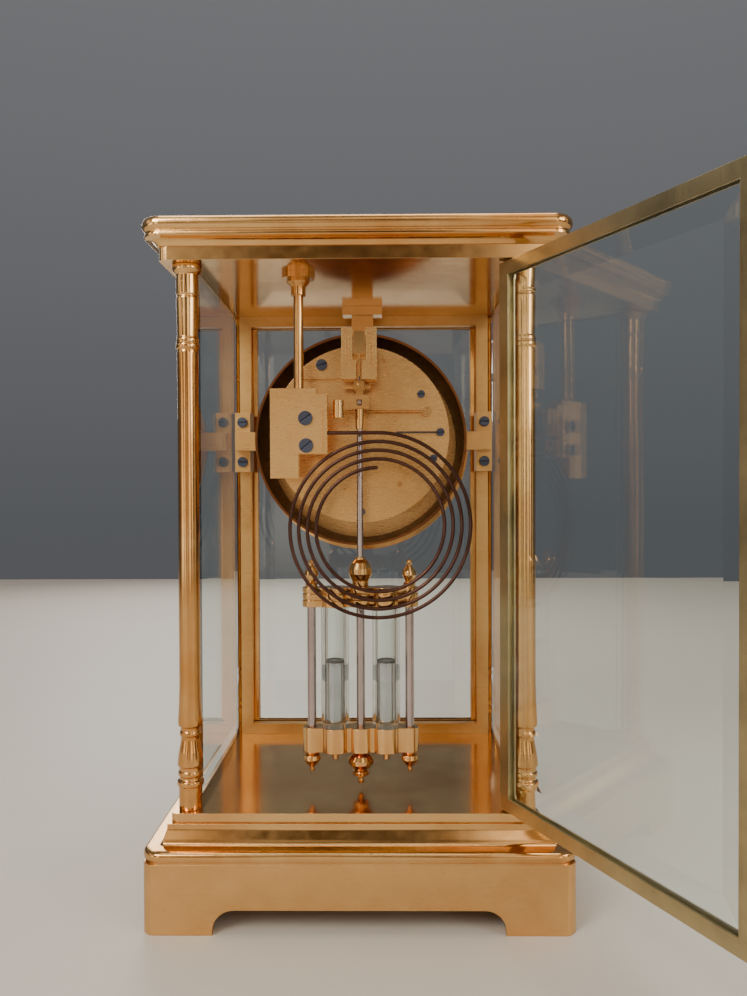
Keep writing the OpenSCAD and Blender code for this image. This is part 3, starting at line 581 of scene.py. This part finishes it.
class CLOCK_OT_minutes(bpy.types.Operator):
    """Set the ring of minute dots with a geometry-node tree"""
    bl_idname = "clock.minutes"
    bl_label = "Minute ring"

    def execute(self, context):
        s = settings()
        lo, hi = (Vector(v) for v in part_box("dial"))
        centre = ((lo.x + hi.x) / 2, lo.y - 0.00004, (lo.z + hi.z) / 2)
        tree = bpy.data.node_groups.new("minute_ring", "GeometryNodeTree")
        face = tree.interface
        face.new_socket("Count", in_out="INPUT", socket_type="NodeSocketInt")
        face.new_socket("Ring radius", in_out="INPUT", socket_type="NodeSocketFloat")
        face.new_socket("Dot radius", in_out="INPUT", socket_type="NodeSocketFloat")
        face.new_socket("Material", in_out="INPUT", socket_type="NodeSocketMaterial")
        face.new_socket("Geometry", in_out="OUTPUT", socket_type="NodeSocketGeometry")
        inp, out = add(tree, "NodeGroupInput"), add(tree, "NodeGroupOutput")
        ring = add(tree, "GeometryNodeMeshCircle", {"Vertices": inp.outputs["Count"],
                                                    "Radius": inp.outputs["Ring radius"]})
        dot = add(tree, "GeometryNodeMeshCylinder", {"Radius": inp.outputs["Dot radius"]}, Vertices=12,
                  Depth=0.00008)
        inst = add(tree, "GeometryNodeInstanceOnPoints",
                   {"Points": ring.outputs[0], "Instance": dot.outputs["Mesh"]})
        real = add(tree, "GeometryNodeRealizeInstances", {"Geometry": inst.outputs[0]})
        turn = add(tree, "GeometryNodeTransform", {"Geometry": real.outputs[0]})
        turn.inputs["Translation"].default_value = centre
        turn.inputs["Rotation"].default_value = (math.pi / 2, 0, 0)
        paint = add(tree, "GeometryNodeSetMaterial",
                    {"Geometry": turn.outputs[0], "Material": inp.outputs["Material"]})
        tree.links.new(paint.outputs[0], out.inputs["Geometry"])
        host = bpy.data.objects.new("minute_host", bpy.data.meshes.new("minute_host"))
        context.scene.collection.objects.link(host)
        mod = host.modifiers.new("ring", "NODES")
        mod.node_group = tree
        keys = {i.name: i.identifier for i in face.items_tree if i.in_out == "INPUT"}
        mod[keys["Count"]] = s.dots
        mod[keys["Ring radius"]] = (hi.x - lo.x) / 2 * 0.895
        mod[keys["Dot radius"]] = 0.00042
        mod[keys["Material"]] = bpy.data.materials["clk_ink"]
        context.view_layer.update()
        me = bpy.data.meshes.new_from_object(host.evaluated_get(context.evaluated_depsgraph_get()))
        if len(me.polygons) < s.dots:
            raise RuntimeError("the minute ring came out empty")
        host.modifiers.remove(mod)
        bpy.data.objects.remove(host)
        ob = bpy.data.objects.new("minute_dots", me)
        context.scene.collection.objects.link(ob)
        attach(ob, "case")
        return {"FINISHED"}


FLOOR_HALF = 1.3
FLOOR_DROP = 0.0001
CAMERA = {"at": (-0.01066, 0.43048, 0.1903), "yaw": -0.0109, "pitch": -0.0141, "roll": 0.004,
          "lens": 30.386386}


def camera_matrix(at, yaw, pitch, roll):
    right, up, fwd = Vector((-1, 0, 0)), Vector((0, 0, 1)), Vector((0, -1, 0))
    c, s = math.cos(yaw), math.sin(yaw)
    right, fwd = c * right - s * fwd, s * right + c * fwd
    c, s = math.cos(pitch), math.sin(pitch)
    up, fwd = c * up - s * fwd, s * up + c * fwd
    c, s = math.cos(roll), math.sin(roll)
    right, up = c * right - s * up, s * right + c * up
    m = Matrix((right, up, -fwd)).transposed().to_4x4()
    m.translation = Vector(at)
    return m


class CLOCK_OT_stage(bpy.types.Operator):
    """Set the floor, the lights, the surroundings and the camera"""
    bl_idname = "clock.stage"
    bl_label = "Stage"

    def execute(self, context):
        s = settings()
        floor_material("clk_floor", s.floor)
        bm = bmesh.new()
        bmesh.ops.create_grid(bm, x_segments=40, y_segments=40, size=FLOOR_HALF)
        for v in bm.verts:
            v.co.z = -FLOOR_DROP
        floor = mesh_object("floor", bm, "clk_floor")
        for name, at, aim, size, watts, tint in (
                ("key", (0.75, 1.0, 0.95), (0, 0, 0.16), 0.6, 13, (1, 0.95, 0.88)),
                ("fill", (-0.95, 0.75, 0.55), (0, 0, 0.15), 0.5, 5, (1, 0.95, 0.9)),
                ("top", (0.0, -0.1, 1.3), (0, 0, 0.2), 0.8, 7, (1, 0.98, 0.95)),
                ("front", (0.3, -1.1, 0.6), (0, 0, 0.16), 0.6, 5, (1, 0.98, 0.95))):
            data = bpy.data.lights.new(name, "AREA")
            data.size, data.energy, data.color = size, watts, tint
            ob = bpy.data.objects.new(name, data)
            ob.visible_transmission = False
            ob.location = at
            ob.rotation_euler = (Vector(aim) - Vector(at)).to_track_quat("-Z", "Y").to_euler()
            context.scene.collection.objects.link(ob)
        world = bpy.data.worlds.new("surroundings")
        world.use_nodes = True
        t = world.node_tree
        t.nodes.clear()
        at = add(t, "ShaderNodeTexCoord").outputs["Generated"]
        parts = add(t, "ShaderNodeSeparateXYZ", {"Vector": at})
        height = add(t, "ShaderNodeMath", {0: parts.outputs["Z"]}, operation="MULTIPLY_ADD").outputs[0]
        wall = ramp(t, height, [(0.0, (0.1, 0.08, 0.06, 1)), (0.48, (0.12, 0.125, 0.135, 1)),
                                (1.0, (0.3, 0.3, 0.31, 1))])
        blots = add(t, "ShaderNodeTexNoise", {"Vector": at}, Scale=2.6, Detail=2, Roughness=0.4)
        room = ramp(t, blots.outputs["Fac"], [(0.4, (0.09, 0.06, 0.035, 1)), (0.52, (0.8, 0.66, 0.5, 1)),
                                              (0.62, (2.6, 2.3, 1.95, 1))])
        side = ramp(t, parts.outputs["Y"], [(0.02, grey(0)), (0.25, grey(1))])
        sky = add(t, "ShaderNodeMix", data_type="RGBA")
        t.links.new(side, sky.inputs[0])
        t.links.new(wall, sky.inputs[6])
        t.links.new(room, sky.inputs[7])
        bg = add(t, "ShaderNodeBackground", {"Color": sky.outputs[2]}, Strength=0.8)
        add(t, "ShaderNodeOutputWorld", {"Surface": bg.outputs[0]})
        context.scene.world = world
        cam = bpy.data.cameras.new("camera")
        cam.lens, cam.sensor_width, cam.sensor_fit = CAMERA["lens"], 36, "AUTO"
        cam.clip_start = 0.01
        ob = bpy.data.objects.new("camera", cam)
        ob.matrix_world = camera_matrix(CAMERA["at"], CAMERA["yaw"], CAMERA["pitch"], CAMERA["roll"])
        context.scene.collection.objects.link(ob)
        context.scene.camera = ob
        return {"FINISHED"}


STEPS = ("finishes", "mouldings", "columns", "gong", "vials", "numerals", "minutes", "stage")


class CLOCK_PT_panel(bpy.types.Panel):
    """Sizes, colours and the steps that build the clock"""
    bl_label = "Clock"
    bl_space_type = "VIEW_3D"
    bl_region_type = "UI"
    bl_category = "Clock"

    def draw(self, context):
        for name in ClockSettings.__annotations__:
            self.layout.prop(context.scene.clock_settings, name)
        for step in STEPS:
            self.layout.operator(f"clock.{step}")


CLASSES = (ClockSettings, CLOCK_OT_finishes, CLOCK_OT_mouldings, CLOCK_OT_columns, CLOCK_OT_gong,
           CLOCK_OT_vials, CLOCK_OT_numerals, CLOCK_OT_minutes, CLOCK_OT_stage, CLOCK_PT_panel)


def register():
    for c in CLASSES:
        bpy.utils.register_class(c)
    bpy.types.Scene.clock_settings = bpy.props.PointerProperty(type=ClockSettings)


def unregister():
    del bpy.types.Scene.clock_settings
    for c in reversed(CLASSES):
        bpy.utils.unregister_class(c)


def main():
    register()
    for step in STEPS:
        getattr(bpy.ops.clock, step)()


if __name__ == "__main__":
    main()
